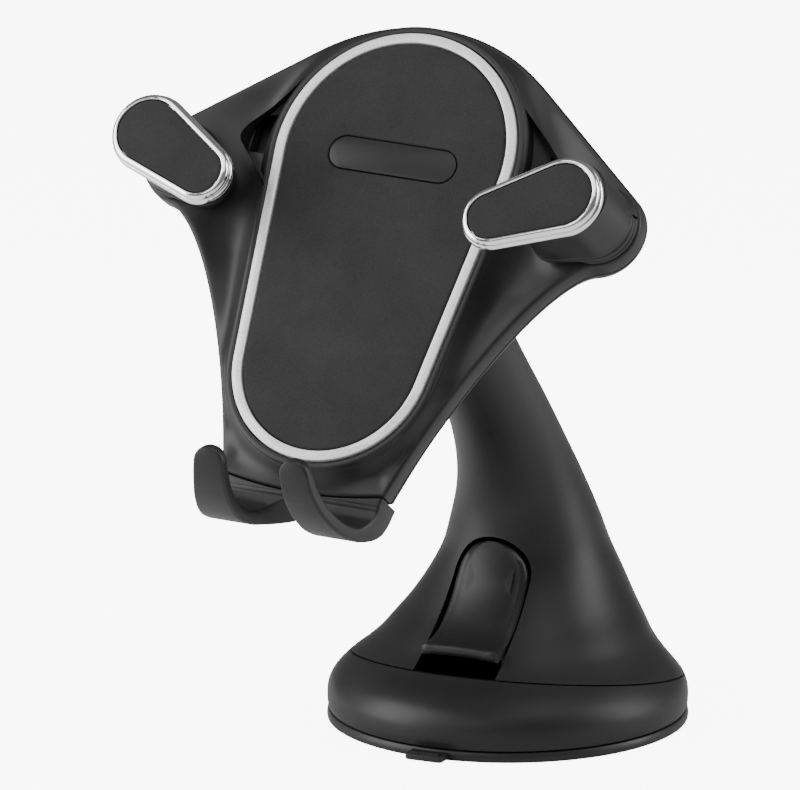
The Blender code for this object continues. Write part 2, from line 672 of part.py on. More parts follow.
def make_jaw(side, word):
    """Post, bush and toothed shaft of one jaw, all about its pivot."""
    pivot = side_point(JAW_PIVOT, side)
    hub = (*pivot, 0)
    low = stadium(pivot, JAW_RADII[0] + 0.4, aimed(side), JAW_LENGTH, JAW_RADII[1] + 0.4)
    high = stadium(pivot, JAW_RADII[0], aimed(side), JAW_LENGTH, JAW_RADII[1])
    post = loft([[(x, y, JAW_BASE_Z + 1.1) for x, y in low], [(x, y, JAW_TOP_Z) for x, y in high]])
    post = new_part(f"{word}_jaw_post", post, BLACK_PLASTIC, cradle, hub, smooth=35)
    edge = FLANGE_RADIUS
    profile = [(0, JAW_BASE_Z), (edge, JAW_BASE_Z), (edge, -2.9), (edge - 0.8, -2.0), (0, -2.0)]
    flange = turned(profile, 30, hub)
    boolean(post, tool(f"{word}_flange", flange, cradle), "UNION")
    boolean(post, tool(f"{word}_post_bore", rod(2.6, JAW_BASE_Z - 1, 6.0, 20, hub), cradle))

    bush = [(2.9, -7.4), (4.9, -7.4), (4.9, -3.9), (2.9, -3.9)]
    new_part(f"{word}_jaw_bush", turned(bush, 18, hub), ACETAL, cradle, hub, smooth=40)

    teeth = [(x + hub[0], y + hub[1]) for x, y in gear_outline(side)]
    gear = new_part(f"{word}_jaw_gear", prism(teeth, *SLIDER_Z), ACETAL, cradle, hub, smooth=35)
    shaft = [(0, -8.5), (2.75, -8.5), (2.75, -3.9), (2.45, -3.9), (2.45, 5.4), (0, 5.4)]
    boolean(gear, tool(f"{word}_shaft", turned(shaft, 20, hub), cradle), "UNION")


def make_paddle(side, word):
    """Bright rim on top of the post and the rubber face in it."""
    pivot = (*side_point(JAW_PIVOT, side), 0)
    root = side_point(PADDLE_ROOT, side)
    big, small = PADDLE_RADII
    outer = stadium(root, big + RIM_WIDTH, aimed(side), PADDLE_LENGTH, small + RIM_WIDTH)
    low, high = PADDLE_Z
    steps = ((low, -0.9), (low + 0.9, -0.1), (low + 2.2, 0.0), (high - 0.5, -0.4), (high, -1.0))
    rings = [[(x, y, z) for x, y in offset(outer, grow)] for z, grow in steps]
    rim = new_part(f"{word}_jaw_rim", loft(rings), CHROME, cradle, pivot, smooth=40)
    inset = stadium(root, big, aimed(side), PADDLE_LENGTH, small)
    boolean(rim, tool(f"{word}_rim_tray", prism(inset, high - 1.8, high + 1), cradle))
    face = prism(offset(inset, -0.2), high - 1.6, high - 0.1, 0.2)
    new_part(f"{word}_jaw_pad", face, PAD_RUBBER, cradle, pivot, smooth=35)


def rack_outline(side):
    """A rack bar whose teeth face outwards, in mesh with the pinion beside it."""
    pitch = 2 * pi * GEAR_RADIUS / TEETH_PER_TURN
    line = JAW_PIVOT.x - GEAR_RADIUS
    points = [(line - 3.6, JAW_PIVOT.y - 3.2), (line - 0.9, JAW_PIVOT.y - 3.2)]
    for i in range(-1, 7):
        middle = JAW_PIVOT.y + (i + 0.5) * pitch
        for share, depth in ((-0.30, -0.9), (-0.12, 0.55), (0.12, 0.55), (0.30, -0.9)):
            points.append((line + depth, middle + share * pitch))
    points += [(line - 0.9, JAW_PIVOT.y + 13.2), (line - 3.6, JAW_PIVOT.y + 13.2)]
    return points if side > 0 else [(-x, y) for x, y in reversed(points)]


def make_slider():
    """T-shaped slider: a rail down to the foot and two arms that end in racks."""
    low, high = SLIDER_Z
    rail = new_part("rack_slider", block((-6.5, -80.2, low), (6.5, -2.0, high)), ACETAL, cradle)
    arms = block((-39.5, -9.0, low), (39.5, -2.0, high))
    boolean(rail, tool("slider_arms", arms, cradle), "UNION")
    for side, word in SIDES:
        boolean(rail, tool(f"{word}_rack", prism(rack_outline(side), low, high), cradle), "UNION")
    return rail


def make_return_springs():
    """Extension springs that pull the slider's arms up to two pins in the front shell."""
    for side, word in SIDES:
        low, high = 0.3, 22.0
        coil = make_spring(f"{word}_return_spring", 1.55, 0.3, low, high, 8, cradle)
        coil.rotation_euler = (-pi / 2, 0, 0)
        coil.location = Vector((side * SPRING_X, -2.0, SPRING_Z)) * MM


def hook_rings(side):
    """Four-cornered sections of one hook, each square to the way the hook runs."""
    rings = []
    for i, (z, y, inner, outer, thick) in enumerate(HOOK_SECTIONS):
        before = HOOK_SECTIONS[max(0, i - 1)]
        after = HOOK_SECTIONS[min(len(HOOK_SECTIONS) - 1, i + 1)]
        run = Vector((after[0] - before[0], after[1] - before[1])).normalized() if i else Vector((0, -1))
        half = Vector((run.x, -run.y)) * thick / 2
        near, far = (inner, outer) if side > 0 else (-outer, -inner)
        rings.append([
            (near, y - half.x, z - half.y),
            (far, y - half.x, z - half.y),
            (far, y + half.x, z + half.y),
            (near, y + half.x, z + half.y),
        ])
    return rings


def make_foot():
    """Sliding foot: a body below the seam and two upturned hooks."""
    half = WAIST[2][0]
    top = WAIST[2][1] - GAP
    seam = [(x, top - SEAM_DIP * (1 - (x / half) ** 2)) for x in (-19.9, -13.5, -6.8, 0, 6.8, 13.5, 19.9)]
    outline = [(-19.3, -80.6), (19.3, -80.6)] + seam[::-1]
    foot = new_part("foot", prism(outline, BACK_Z + 0.7, FACE_Z, 0.6), BLACK_PLASTIC, cradle, smooth=35)
    for side, word in SIDES:
        boolean(foot, tool(f"{word}_hook", loft(hook_rings(side)), cradle), "UNION")
    slot = block((-6.8, -80.5, SLIDER_Z[0] - GAP), (6.8, -70, SLIDER_Z[1] + GAP))
    boolean(foot, tool("slider_slot", slot, cradle))
    return foot


make_cup()
make_cup_fittings()
make_skirt()
make_plate()
make_base_screws()
make_spring("cup_spring", 7.2, 0.55, 4.7, PLATE_Z - 0.1, 2.0)
make_stem()
make_lever()
make_ball_stud()
make_ball_cups()
make_front_shell()
make_back_cover()
make_cover_screws()
make_pad()
make_slider()
make_return_springs()
make_foot()
for side, word in SIDES:
    make_jaw(side, word)
    make_paddle(side, word)
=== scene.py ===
"""Looks of the car phone mount: fine shells, pads, rims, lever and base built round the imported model.

Sizes are in millimetres in the cradle's frame, the ball's frame or the world, as each function says.
"""

import json
from math import acos, asin, atan2, cos, degrees, exp, hypot, pi, radians, sin, sqrt

import bmesh
import bpy
from mathutils import Matrix, Vector
from mathutils.geometry import interpolate_bezier


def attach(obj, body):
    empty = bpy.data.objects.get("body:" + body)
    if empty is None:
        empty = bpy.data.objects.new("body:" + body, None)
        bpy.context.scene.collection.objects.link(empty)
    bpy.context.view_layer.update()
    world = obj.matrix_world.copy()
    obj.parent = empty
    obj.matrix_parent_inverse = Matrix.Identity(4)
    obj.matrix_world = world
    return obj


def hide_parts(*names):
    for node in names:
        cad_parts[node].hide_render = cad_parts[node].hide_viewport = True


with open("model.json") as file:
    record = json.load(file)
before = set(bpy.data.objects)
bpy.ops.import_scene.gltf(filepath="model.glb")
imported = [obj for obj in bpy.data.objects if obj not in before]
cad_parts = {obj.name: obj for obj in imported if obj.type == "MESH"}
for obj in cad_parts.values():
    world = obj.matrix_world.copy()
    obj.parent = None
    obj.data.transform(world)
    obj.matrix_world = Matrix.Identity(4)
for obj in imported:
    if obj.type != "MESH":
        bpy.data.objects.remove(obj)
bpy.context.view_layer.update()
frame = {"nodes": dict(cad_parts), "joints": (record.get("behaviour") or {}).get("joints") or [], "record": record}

MM = 0.001
GAP = 0.3
SIDES = ((-1, "left"), (1, "right"))

# Base and stem: round sections (forward, up, radius, forward lean), in the world
CUP_RADIUS = 40.7
CUP_HEIGHT = 2.3
SEAM_HEIGHT = 12.0
SEAM_TILT = 8.5
STEM_WALL = 2.4
STEM_END_LEAN = 48.0
FLARE_SECTIONS = (
    (0.0, 2.7, 40.4, 0.0),
    (0.0, 4.2, 40.7, 0.0),
    (0.0, 7.2, 40.6, 0.0),
    (0.0, 9.4, 39.8, 0.0),
    (0.0, 11.4, 38.3, 0.0),
    (-0.6, 13.4, 36.3, 0.0),
    (-2.2, 15.6, 33.7, 0.0),
    (-4.0, 18.2, 31.1, 0.0),
    (-5.7, 21.3, 28.8, 0.0),
    (-8.0, 26.0, 25.4, 0.0),
    (-9.8, 32.0, 21.9, 0.0),
    (-9.8, 38.0, 19.0, 3.0),
    (-8.8, 44.0, 17.1, 8.0),
    (-5.9, 53.5, 14.3, 16.0),
    (-1.2, 62.5, 12.4, 25.0),
    (5.0, 71.8, 11.2, 33.0),
    (12.6, 81.2, 10.5, 38.0),
    (20.9, 91.1, 10.1, 41.0),
    (29.3, 100.4, 9.8, 45.0),
)
STEM_TIP = (
    (36.2, 107.6, 9.3, 48.0),
    (37.1, 108.4, 9.0, 48.0),
    (37.5, 108.8, 8.4, 48.0),
    (37.6, 108.9, 7.6, 48.0),
)

# Suction lever: its front path (forward, up) from the arched top to the lip
LEVER_PIVOT = Vector((0, -4.6, 36.0))
LEVER_TOP_Z = 42.4
LEVER_HALF_WIDTH = 8.7
LEVER_PATH = (
    (8.3, 42.4),
    (8.6, 40.0),
    (9.8, 36.0),
    (11.9, 32.0),
    (15.2, 28.0),
    (18.4, 25.2),
    (21.6, 23.5),
    (24.6, 22.6),
    (26.6, 22.3),
)
LEVER_THICK = 1.9
LEVER_OPEN = 52.0
CRANK_THROW = 2.395
CRANK_RADIUS = 1.5
PIN_RADIUS = 1.0
RUN = 0.15

# Ball joint, in the ball's frame
BALL_RADIUS = 7.6
BALL_NECK_RADIUS = 4.6
COLLAR_RADIUS = 13.4
COLLAR_GRIPS = 20
SCALLOP_DEPTH = 0.75

# Cradle, in its own frame: x to the right, y up the face, z out of the pad
PAD_TOP_CENTRE = Vector((0, 14.0, 24.0))
PAD_TOP_RADIUS = 26.4
PAD_FOOT_RADIUS = 21.2
PAD_LENGTH = 49.2
RING_WIDTH = 2.3
BEZEL_REACH = 4.3  # from the pad's outline to the bezel's outer shoulder
BEZEL_Z = -0.65
SHOULDER_Z = -1.3
FACE_Z = -4.0
SPLIT_Z = -8.6
BACK_Z = -13.4
UNDER_Z = -7.2
EDGE_ROUND = 0.9
TOP_ARC_RADIUS = 45.4
TOP_EDGE = 31.8
WING_ANGLE = 53.1
CORNER_CENTRE = Vector((50.9, -7.7))
CORNER_RADIUS = 9.9
CORNER_END = -75.5
WAIST = ((42.4, -19.2), (27.6, -50.0), (20.0, -77.0))
SEAM_DIP = 2.0
SLIDER_Z = (-10.7, -7.9)
COVER_BOLTS = ((16.5, 21.6), (13.0, -70.0))

# Jaws
JAW_PIVOT = Vector((51.5, -8.0))
JAW_AIM = 206.0
JAW_RADII = (8.1, 5.6)
JAW_LENGTH = 9.4
JAW_BASE_Z = -3.6
FLANGE_RADIUS = 9.0
PIN_HOLE = Vector((8.2, 2.8))  # from the jaw's pivot
JAW_TOP_Z = 13.8
PADDLE_ROOT = Vector((50.7, -9.2))
PADDLE_LENGTH = 16.6
PADDLE_RADII = (7.35, 5.4)
RIM_WIDTH = 1.8
PADDLE_Z = (14.1, 18.1)

# Half of the foot, seam to tip: (z, y, inner edge, outer edge, thickness)
FOOT_SECTIONS = (
    (-8.3, -76.0, -3.0, 19.9, 8.6),
    (-8.3, -78.4, -3.0, 19.6, 8.5),
    (-8.1, -80.4, -1.5, 19.5, 7.9),
    (-7.2, -82.6, 2.6, 19.4, 6.7),
    (-5.0, -85.0, 6.0, 19.2, 4.8),
    (-1.0, -87.4, 7.4, 18.6, 3.3),
    (5.5, -88.6, 7.6, 17.6, 3.0),
    (12.0, -87.8, 7.3, 16.2, 3.0),
    (17.4, -85.6, 7.0, 14.9, 3.0),
    (21.0, -83.0, 6.9, 14.2, 2.9),
    (23.4, -80.0, 6.8, 13.9, 2.6),
)
HOOK_ROUND = 0.7

# Looks, lights and camera
SHEEN = 0.32  # specular level of every material
FLOOR_GLOW = 8.0  # seen by the camera only, so that the floor stays near white
VIEW_AZIMUTH = 25.5
CAMERA_PLACE = Vector((-0.0243, -3.477, 0.9734))  # before the turn by VIEW_AZIMUTH
CAMERA_PITCH = 0.253
CAMERA_LENS = 720
WORLD_STRENGTH = 0.2
LIGHT_TARGET = Vector((0, -0.02, 0.085))

JOINTS = {joint["name"]: joint for joint in frame["joints"]}


# --- placing --------------------------------------------------------------------------------------


def ball_placing():
    """The ball's frame, from the cradle's own joints: x right, y up the face, z out of the pad."""
    out = Vector(JOINTS["cradle_spin"]["axis"]).normalized()
    up = -Vector(JOINTS["foot_slide"]["axis"]).normalized()
    turn = Matrix((up.cross(out), up, out)).transposed()
    return Matrix.Translation(Vector(JOINTS["cradle_spin"]["pos_m"])) @ turn.to_4x4()


SCALE = Matrix.Scale(MM, 4)
WORLD = SCALE
BALL = ball_placing() @ SCALE
CRADLE = BALL @ Matrix.Translation(PAD_TOP_CENTRE)
STEM_END = (
    Matrix.Translation(BALL.to_translation())
    @ Matrix.Rotation(radians(STEM_END_LEAN), 4, "X")
    @ SCALE
)


# --- materials ------------------------------------------------------------------------------------


def surface(name, colour, roughness, metallic=0.0):
    """A Principled material with the node tree's own coordinates; returns its parts."""
    made = bpy.data.materials.new(name)
    made.use_nodes = True
    tree = made.node_tree
    shader = tree.nodes["Principled BSDF"]
    shader.inputs["Base Color"].default_value = (*colour, 1)
    shader.inputs["Roughness"].default_value = roughness
    shader.inputs["Metallic"].default_value = metallic
    shader.inputs["Specular IOR Level"].default_value = SHEEN
    place = tree.nodes.new("ShaderNodeTexCoord")
    return made, tree, shader, place.outputs["Object"]


def noise(tree, place, scale, detail=3.0, stretch=None):
    """A noise pattern with the given number of features per metre."""
    if stretch:
        mapping = tree.nodes.new("ShaderNodeMapping")
        mapping.inputs["Scale"].default_value = stretch
        tree.links.new(place, mapping.inputs["Vector"])
        place = mapping.outputs["Vector"]
    pattern = tree.nodes.new("ShaderNodeTexNoise")
    pattern.inputs["Scale"].default_value = scale
    pattern.inputs["Detail"].default_value = detail
    tree.links.new(place, pattern.inputs["Vector"])
    return pattern.outputs["Fac"]


def ranged(tree, source, low, high, out_low, out_high):
    """The source's range low to high carried to another range."""
    step = tree.nodes.new("ShaderNodeMapRange")
    for socket, value in zip(step.inputs[1:5], (low, high, out_low, out_high)):
        socket.default_value = value
    tree.links.new(source, step.inputs["Value"])
    return step.outputs["Result"]


def tinted(tree, source, dark, light):
    """A colour between two by the source."""
    ramp = tree.nodes.new("ShaderNodeValToRGB")
    ramp.color_ramp.elements[0].position = 0.3
    ramp.color_ramp.elements[1].position = 0.7
    ramp.color_ramp.elements[0].color = (*dark, 1)
    ramp.color_ramp.elements[1].color = (*light, 1)
    tree.links.new(source, ramp.inputs["Fac"])
    return ramp.outputs["Color"]


def bumped(tree, shader, source, strength, depth_mm):
    """Raises the surface by the source."""
    bump = tree.nodes.new("ShaderNodeBump")
    bump.inputs["Strength"].default_value = strength
    bump.inputs["Distance"].default_value = depth_mm * MM
    tree.links.new(source, bump.inputs["Height"])
    tree.links.new(bump.outputs["Normal"], shader.inputs["Normal"])


def with_painted_edge_highlight(tree, base, edge, start, end, amount):
    """The base colour, a little lighter where the surface turns sharply outwards: a painted edge highlight."""
    geometry = tree.nodes.new("ShaderNodeNewGeometry")
    share = ranged(tree, geometry.outputs["Pointiness"], start, end, 0.0, amount)
    mix = tree.nodes.new("ShaderNodeMix")
    mix.data_type = "RGBA"
    tree.links.new(share, mix.inputs["Factor"])
    tree.links.new(base, mix.inputs["A"])
    mix.inputs["B"].default_value = (*edge, 1)
    return mix.outputs["Result"]


def moulded_plastic(name, dark, light, rough_low, rough_high, grain=0.25):
    """Moulded plastic with a fine spark-eroded grain, faint clouding and a painted highlight along its sharp
    outward edges.
    """
    made, tree, shader, place = surface(name, light, rough_high)
    cloud = noise(tree, place, 55, 4)
    fine = noise(tree, place, 5200, 2)
    base = tinted(tree, cloud, dark, light)
    # Painted highlight: sharp outward edges are mixed towards twice the light colour.
    edge_highlight_colour = tuple(min(1, 2.0 * value) for value in light)
    tree.links.new(with_painted_edge_highlight(tree, base, edge_highlight_colour, 0.53, 0.62, 0.5), shader.inputs["Base Color"])
    tree.links.new(ranged(tree, cloud, 0.3, 0.7, rough_low, rough_high), shader.inputs["Roughness"])
    bumped(tree, shader, fine, grain, 0.02)
    return made


def rubber(name, dark, light, roughness, grain_scale, grain):
    """Matt rubber: grain in bump and colour."""
    made, tree, shader, place = surface(name, light, roughness)
    fine = noise(tree, place, grain_scale, 3)
    cloud = noise(tree, place, 90, 3)
    tree.links.new(tinted(tree, fine, dark, light), shader.inputs["Base Color"])
    spread = ranged(tree, cloud, 0.3, 0.7, roughness - 0.06, roughness + 0.06)
    tree.links.new(spread, shader.inputs["Roughness"])
    bumped(tree, shader, fine, grain, 0.04)
    return made


def metal(name, dark, light, rough_low, rough_high, scale, grain, metallic=1.0, stretch=None):
    """Metal or plating with fine streaks or blasting marks."""
    made, tree, shader, place = surface(name, light, rough_high, metallic)
    marks = noise(tree, place, scale, 3, stretch)
    tree.links.new(tinted(tree, marks, dark, light), shader.inputs["Base Color"])
    tree.links.new(ranged(tree, marks, 0.3, 0.7, rough_low, rough_high), shader.inputs["Roughness"])
    bumped(tree, shader, marks, grain, 0.02)
    return made


BLACK = moulded_plastic("black_plastic", (0.010, 0.010, 0.0105), (0.014, 0.014, 0.0145), 0.40, 0.48)
BADGE = moulded_plastic("badge_plastic", (0.0015, 0.0015, 0.0015), (0.003, 0.003, 0.003), 0.34, 0.42, 0.1)
PAD = rubber("pad_rubber", (0.013, 0.013, 0.0132), (0.020, 0.020, 0.0204), 0.80, 2600, 0.2)
CUP = rubber("cup_rubber", (0.014, 0.014, 0.014), (0.019, 0.019, 0.019), 0.42, 1500, 0.1)
CHROME = metal("chrome", (0.80, 0.80, 0.81), (0.90, 0.90, 0.91), 0.10, 0.17, 700, 0.05)
SATIN = metal("satin_ring", (0.55, 0.55, 0.55), (0.80, 0.80, 0.79), 0.42, 0.58, 2600, 0.5, 0.55)
STEEL = metal("steel", (0.40, 0.40, 0.41), (0.58, 0.58, 0.59), 0.24, 0.38, 900, 0.1, 1.0, (1, 1, 6))
ACETAL = moulded_plastic("acetal", (0.016, 0.016, 0.016), (0.022, 0.022, 0.022), 0.34, 0.42, 0.1)
SLOT_SURFACES = {
    "black_plastic": BLACK,
    "pad_rubber": PAD,
    "cup_rubber": CUP,
    "chrome_trim": CHROME,
    "satin_trim": SATIN,
    "steel": STEEL,
    "acetal": ACETAL,
}


# --- mesh helpers ---------------------------------------------------------------------------------


def eased(rows, steps):
    """Rows of numbers joined smoothly, with steps new rows for each old one."""
    rows = [Vector(row) for row in rows]
    at = [0.0]
    for a, b in zip(rows, rows[1:]):
        at.append(at[-1] + (b - a).length)
    last = len(rows) - 1
    slopes = []
    for i in range(last + 1):
        a, b = max(0, i - 1), min(last, i + 1)
        slopes.append((rows[b] - rows[a]) / (at[b] - at[a]))
    out = []
    for i in range(last):
        span = at[i + 1] - at[i]
        for k in range(steps):
            t = k / steps
            out.append(
                rows[i] * (2 * t**3 - 3 * t**2 + 1)
                + slopes[i] * span * (t**3 - 2 * t**2 + t)
                + rows[i + 1] * (3 * t**2 - 2 * t**3)
                + slopes[i + 1] * span * (t**3 - t**2)
            )
    out.append(rows[last])
    return out


def loft(rings):
    """A closed solid through rings of equally many points."""
    mesh = bmesh.new()
    rows = [[mesh.verts.new(point) for point in ring] for ring in rings]
    count = len(rows[0])
    for low, high in zip(rows, rows[1:]):
        for i in range(count):
            j = (i + 1) % count
            mesh.faces.new((low[i], low[j], high[j], high[i]))
    mesh.faces.new(rows[0][::-1])
    mesh.faces.new(rows[-1])
    return mesh


def layers(outline_at, steps):
    """A loft through outline_at(grow) at each (z, grow)."""
    return loft([[(x, y, z) for x, y in outline_at(grow)] for z, grow in steps])


def turned(profile, segments=96, centre=(0, 0, 0), axis="Z"):
    """The closed profile of (radius, height) points turned about an axis through the centre."""
    mesh = bmesh.new()
    rows = []
    for radius, height in profile:
        if radius < 1e-6:
            rows.append([mesh.verts.new((0, 0, height))] * segments)
            continue
        angles = (2 * pi * i / segments for i in range(segments))
        rows.append([mesh.verts.new((radius * cos(a), radius * sin(a), height)) for a in angles])
    for low, high in zip(rows, rows[1:] + rows[:1]):
        for i in range(segments):
            j = (i + 1) % segments
            corners = list(dict.fromkeys((low[i], low[j], high[j], high[i])))
            if len(corners) > 2:
                mesh.faces.new(corners)
    turn = Matrix.Rotation(pi / 2, 3, "Y") if axis == "X" else Matrix.Identity(3)
    bmesh.ops.rotate(mesh, verts=mesh.verts, matrix=turn)
    bmesh.ops.translate(mesh, verts=mesh.verts, vec=centre)
    return mesh


def rod(radius, low, high, segments=48, centre=(0, 0, 0), axis="Z"):
    return turned([(0, low), (radius, low), (radius, high), (0, high)], segments, centre, axis)


def block(low, high):
    (x0, y0, z0), (x1, y1, z1) = low, high
    corners = ((x0, y0), (x1, y0), (x1, y1), (x0, y1))
    return loft([[(x, y, z) for x, y in corners] for z in (z0, z1)])


def offset(outline, distance):
    """The outline moved outwards along its vertex normals; it runs anticlockwise."""
    moved = []
    count = len(outline)
    for i, point in enumerate(outline):
        here = Vector(point)
        before = (here - Vector(outline[i - 1])).normalized()
        after = (Vector(outline[(i + 1) % count]) - here).normalized()
        normal = Vector((before.y + after.y, -before.x - after.x)).normalized()
        stretch = 1 / max(0.5, normal.dot(Vector((after.y, -after.x))))
        moved.append(tuple(here + normal * distance * stretch))
    return moved


def arc(centre, radius, start, end, count):
    angles = [radians(start + (end - start) * i / (count - 1)) for i in range(count)]
    return [(centre[0] + radius * cos(a), centre[1] + radius * sin(a)) for a in angles]


def stadium(start, radius, aim, length, far_radius, count=28):
    """A tapered stadium: a big arc about start and a small one at the given distance and direction."""
    lean = degrees(acos((radius - far_radius) / length))
    far = Vector(start) + Vector((cos(radians(aim)), sin(radians(aim)))) * length
    big = arc(start, radius, aim + lean, aim + 360 - lean, 2 * count)
    return big + arc(far, far_radius, aim - lean, aim + lean, count)


def mirrored(points):
    return [(-x, y) for x, y in reversed(points)]


def side_point(point, side):
    return Vector((side * point[0], point[1]))


def aimed(side):
    return JAW_AIM if side > 0 else 180 - JAW_AIM


# --- pieces ---------------------------------------------------------------------------------------


def solid(name, mesh):
    """An object from a bmesh, still in the millimetres of its own frame."""
    bmesh.ops.remove_doubles(mesh, verts=mesh.verts, dist=0.0005)
    bmesh.ops.recalc_face_normals(mesh, faces=mesh.faces)
    data = bpy.data.meshes.new(name)
    mesh.to_mesh(data)
    mesh.free()
    made = bpy.data.objects.new(name, data)
    bpy.context.collection.objects.link(made)
    return made


def evaluated(piece):
    """Applies the piece's modifiers."""
    graph = bpy.context.evaluated_depsgraph_get()
    data = bpy.data.meshes.new_from_object(piece.evaluated_get(graph))
    piece.modifiers.clear()
    piece.data = data


def shaped(piece, mesh, operation="DIFFERENCE"):
    """Cuts the piece with a solid, or joins the solid to it."""
    tool = solid("tool", mesh)
    step = piece.modifiers.new("shape", "BOOLEAN")
    step.operation = operation
    step.object = tool
    evaluated(piece)
    bpy.data.objects.remove(tool)


def finished(piece, material, body, nodes=(), place=WORLD, smooth=35):
    """Puts the piece in its place in the world, shades it and fastens it to its body."""
    piece.data.transform(place)
    piece.data.materials.clear()
    piece.data.materials.append(material)
    piece.data.shade_smooth()
    piece.data.set_sharp_from_angle(angle=radians(smooth))
    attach(piece, body)
    if nodes:
        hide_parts(*nodes)
    return piece


# --- base -----------------------------------------------------------------------------------------


def flare(sections, inset=0.0, drop=0.0, steps=6, segments=128):
    """The flare's solid through some of its sections."""
    rings = []
    for forward, up, radius, lean in eased(sections, steps):
        turn = Matrix.Rotation(radians(lean), 3, "X")
        ring = []
        for i in range(segments):
            angle = 2 * pi * i / segments
            flat = Vector(((radius - inset) * cos(angle), (radius - inset) * sin(angle), 0))
            ring.append(tuple(Vector((0, -forward, up)) + turn @ flat))
        rings.append(ring)
    if drop:
        rings.insert(0, [(x, y, z - drop) for x, y, z in rings[0]])
    return loft(rings)


def seam_slab(low, high):
    """A thick slab parallel to the tilted seam plane."""
    mesh = block((-60, -60, low), (60, 60, high))
    bmesh.ops.rotate(mesh, verts=mesh.verts, matrix=Matrix.Rotation(radians(-SEAM_TILT), 3, "X"))
    bmesh.ops.translate(mesh, verts=mesh.verts, vec=(0, 0, SEAM_HEIGHT))
    return mesh


def make_cup():
    """Thin-lipped rubber cup with its pull tongue at the front."""
    top = CUP_HEIGHT
    profile = [(0, 0), (CUP_RADIUS - 0.4, 0), (CUP_RADIUS, 0.2), (CUP_RADIUS + 0.1, 0.8), (CUP_RADIUS, 1.7)]
    profile += [(CUP_RADIUS - 0.3, top - 0.1), (CUP_RADIUS - 0.8, top), (13, 2.9), (0, 2.9)]
    cup = solid("suction_cup_skin", turned(profile, 160))
    steps = ((0.45, -0.25), (0.7, 0), (1.6, 0), (1.85, -0.25))
    shaped(cup, layers(lambda grow: offset(tongue_outline(), grow), steps), "UNION")
    ridge = block((-3.4, -44.2, 1.2), (3.4, -43.2, 2.3))
    shaped(cup, ridge, "UNION")
    return finished(cup, CUP, "cup", ["suction_cup"])


def tongue_outline():
    """The pull tongue seen from above, anticlockwise."""
    right = arc((3.5, -43.8), 1.1, -90, 0, 6) + [(4.6, -37.5), (5.6, -36.2)]
    return right + mirrored(right)


def make_skirt():
    """Flared ring round the foot of the mount."""
    skirt = solid("base_skirt_skin", flare(FLARE_SECTIONS[:8]))
    shaped(skirt, flare(FLARE_SECTIONS[:9], STEM_WALL, 3))
    shaped(skirt, seam_slab(-GAP / 2, 40))
    return finished(skirt, BLACK, "base", ["base_skirt"])


def arch(half_width, top, bottom, flare_out):
    """Front outline (x, z) of the lever's window: a round top on sides that widen downwards."""
    crown = arc((0, top - half_width), half_width, 0, 180, 40)
    return [(half_width + flare_out, bottom)] + crown + [(-half_width - flare_out, bottom)]


def make_stem():
    """Hollow leaning stem with the lever's window in its front."""
    stem = solid("stem_skin", flare(FLARE_SECTIONS[2:] + STEM_TIP))
    shaped(stem, flare(FLARE_SECTIONS[2:-1], STEM_WALL, 3))
    shaped(stem, seam_slab(-40, GAP / 2))
    window = arch(LEVER_HALF_WIDTH + 0.75, LEVER_TOP_Z + 1.0, 8.0, 1.0)
    shaped(stem, loft([[(x, y, z) for x, z in window] for y in (-34, -2)]))
    seat = rod(4.2, -26, -8, 48)
    bmesh.ops.transform(seat, matrix=WORLD.inverted() @ STEM_END, verts=seat.verts)
    shaped(stem, seat)
    return finished(stem, BLACK, "base", ["stem_shell"])


def lever_section(place, half, thick, dip, curve):
    """One cross section of the lever: place is (forward, up), with a raised rim along each side."""
    (forward, up), way = place
    outwards = Vector((way.y, -way.x))  # square to the path, in (forward, up)
    if outwards.x < 0:
        outwards = -outwards
    ring = []
    columns = 24
    for i in range(columns + 1):
        share = 2 * i / columns - 1
        across = half * 0.97 * share
        sag = curve - sqrt(curve**2 - across**2)
        rim = 0.28 * exp(-(((abs(share) - 0.9) / 0.07) ** 2))
        rise = rim - dip * (1 - share**2) - sag
        edge = 0.35 if i in (0, columns) else 0
        spot = Vector((forward, up)) + outwards * (rise - edge)
        ring.append((across if not edge else half * share, -spot.x, spot.y))
    for i in range(columns, -1, -4):
        share = 2 * i / columns - 1
        across = half * share
        sag = curve - sqrt(curve**2 - (across * 0.97) ** 2)
        spot = Vector((forward, up)) - outwards * (thick + sag)
        ring.append((across, -spot.x, spot.y))
    return ring


